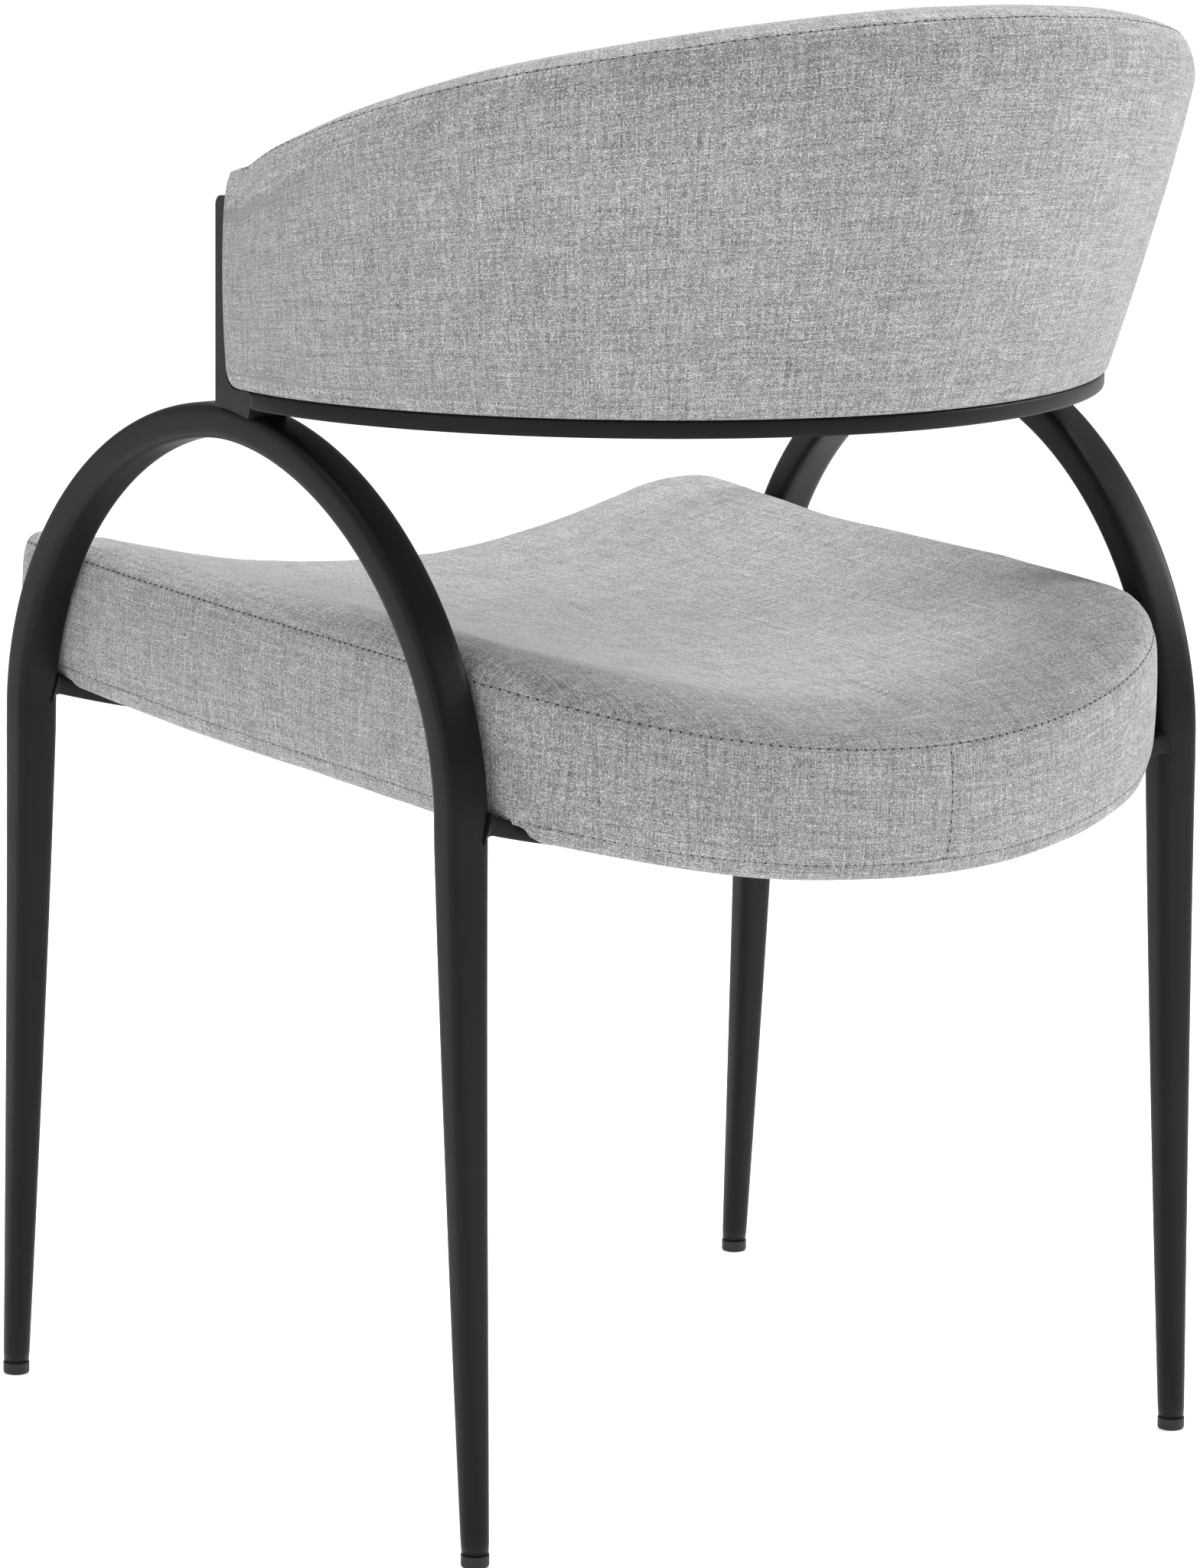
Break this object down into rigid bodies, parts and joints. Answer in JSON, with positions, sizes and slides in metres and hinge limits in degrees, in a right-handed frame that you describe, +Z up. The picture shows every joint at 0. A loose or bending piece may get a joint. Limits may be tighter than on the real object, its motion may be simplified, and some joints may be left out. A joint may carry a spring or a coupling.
{
  "type": "dining chair",
  "caption": "Upholstered dining armchair with a barrel back on a bent steel rail, a saddle-shaped seat and arched tubular side frames with tapered legs",
  "frame": {"origin": "on the floor, under the middle of the bounding box of the chair at rest", "axes": "+Z up, the sitter faces -Y so the backrest is at +Y, +X is the sitter's left; the chair is symmetric about the plane x = 0"},
  "size_m": [0.5564, 0.6366, 0.8405],
  "materials": {
    "frame_steel": "satin",
    "glide_plastic": "matte",
    "plywood": "matte",
    "foam": "matte",
    "cloth": "matte",
    "dust_cloth": "matte",
    "zinc_steel": "satin"
  },
  "bodies": {
    "root": {"left_arch": "frame_steel", "right_arch": "frame_steel", "front_crossbar": "frame_steel", "rear_crossbar": "frame_steel", "back_rail": "frame_steel", "left_upright": "frame_steel", "right_upright": "frame_steel", "back_tabs": "frame_steel", "front_left_glide": "glide_plastic", "front_right_glide": "glide_plastic", "rear_left_glide": "glide_plastic", "rear_right_glide": "glide_plastic", "seat_board": "plywood", "seat_foam": "foam", "seat_top_panel": "cloth", "seat_side_band": "cloth", "seat_base_strip": "cloth", "seat_dust_cover": "dust_cloth", "seat_bolts": "zinc_steel", "seat_washers": "zinc_steel", "seat_tee_nuts": "zinc_steel", "back_board": "plywood", "back_foam": "foam", "back_rear_pad": "foam", "back_rear_panel": "cloth", "back_top_strip": "cloth", "back_front_panel": "cloth", "back_end_panels": "cloth", "back_screws": "zinc_steel"}
  },
  "joints": []
}
